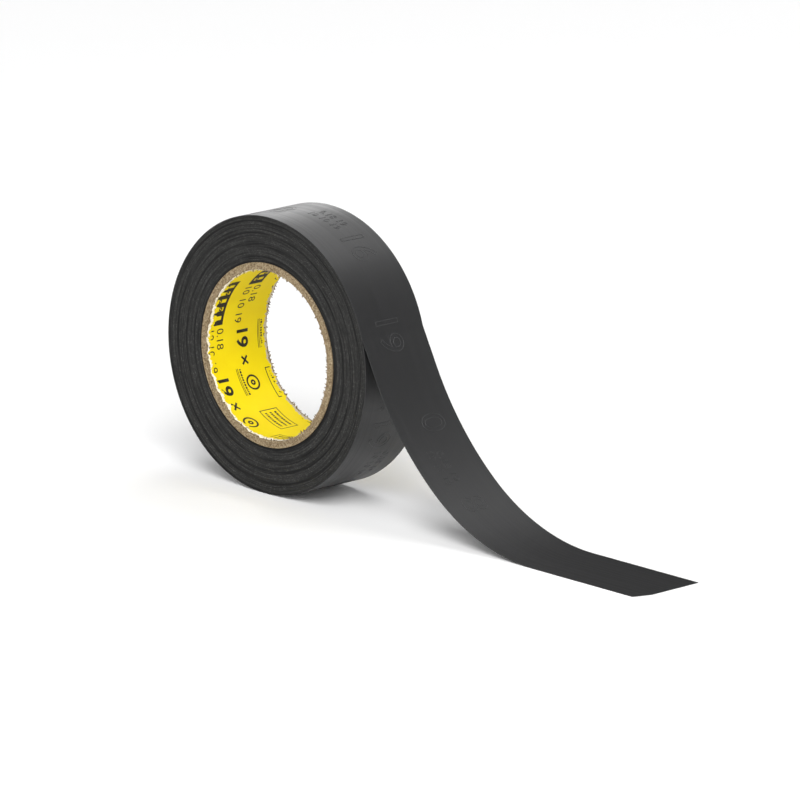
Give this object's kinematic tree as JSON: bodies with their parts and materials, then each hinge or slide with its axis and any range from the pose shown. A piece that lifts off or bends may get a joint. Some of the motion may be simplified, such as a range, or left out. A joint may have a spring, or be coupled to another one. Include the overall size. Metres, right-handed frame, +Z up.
{
  "type": "electrical tape roll",
  "caption": "Roll of black vinyl electrical tape on a spiral-wound board core with a printed liner, its free end peeled off and lying flat beside it.",
  "frame": {"origin": "on the core's bore axis, half way along the tape's width", "axes": "+Z up with the roll standing on its rim; +Y along the bore axis; +X towards the free end of the tape"},
  "size_m": [0.1478, 0.019, 0.0636],
  "materials": {
    "vinyl_film": "satin calendered black PVC",
    "tape_adhesive": "tacky black rubber adhesive, low gloss",
    "wound_tape": "slit tape edges, matt with fine dust",
    "core_board": "cut brown paperboard, fibrous",
    "liner_paper": "yellow printed paper with black marks, slight gloss"
  },
  "bodies": {
    "outer_lap": {"outer_lap_film": "vinyl_film", "outer_lap_adhesive": "tape_adhesive"},
    "roll": {"core_liner": "liner_paper", "core_ply_inner": "core_board", "core_ply_middle": "core_board", "core_ply_outer": "core_board", "winding": "wound_tape"},
    "tail_upper": {"tail_upper_film": "vinyl_film", "tail_upper_adhesive": "tape_adhesive"},
    "tail_lower": {"tail_lower_film": "vinyl_film", "tail_lower_adhesive": "tape_adhesive"},
    "tail_end": {"tail_end_film": "vinyl_film", "tail_end_adhesive": "tape_adhesive"}
  },
  "joints": [
    {"name": "roll_spin", "type": "hinge", "parent": "outer_lap", "child": "roll", "pos_m": [0, 0, 0], "axis": [0, 1, 0], "continuous": true},
    {"name": "tail_peel", "type": "hinge", "parent": "outer_lap", "child": "tail_upper", "pos_m": [0.03021, 0, 0.00964], "axis": [0, -1, 0], "range_deg": [-3, 80]},
    {"name": "tail_flex_upper", "type": "hinge", "parent": "tail_upper", "child": "tail_lower", "pos_m": [0.05392, 0, -0.02126], "axis": [0, -1, 0], "range_deg": [-30, 35]},
    {"name": "tail_flex_lower", "type": "hinge", "parent": "tail_lower", "child": "tail_end", "pos_m": [0.08446, 0, -0.03171], "axis": [0, -1, 0], "range_deg": [-30, 35]}
  ]
}
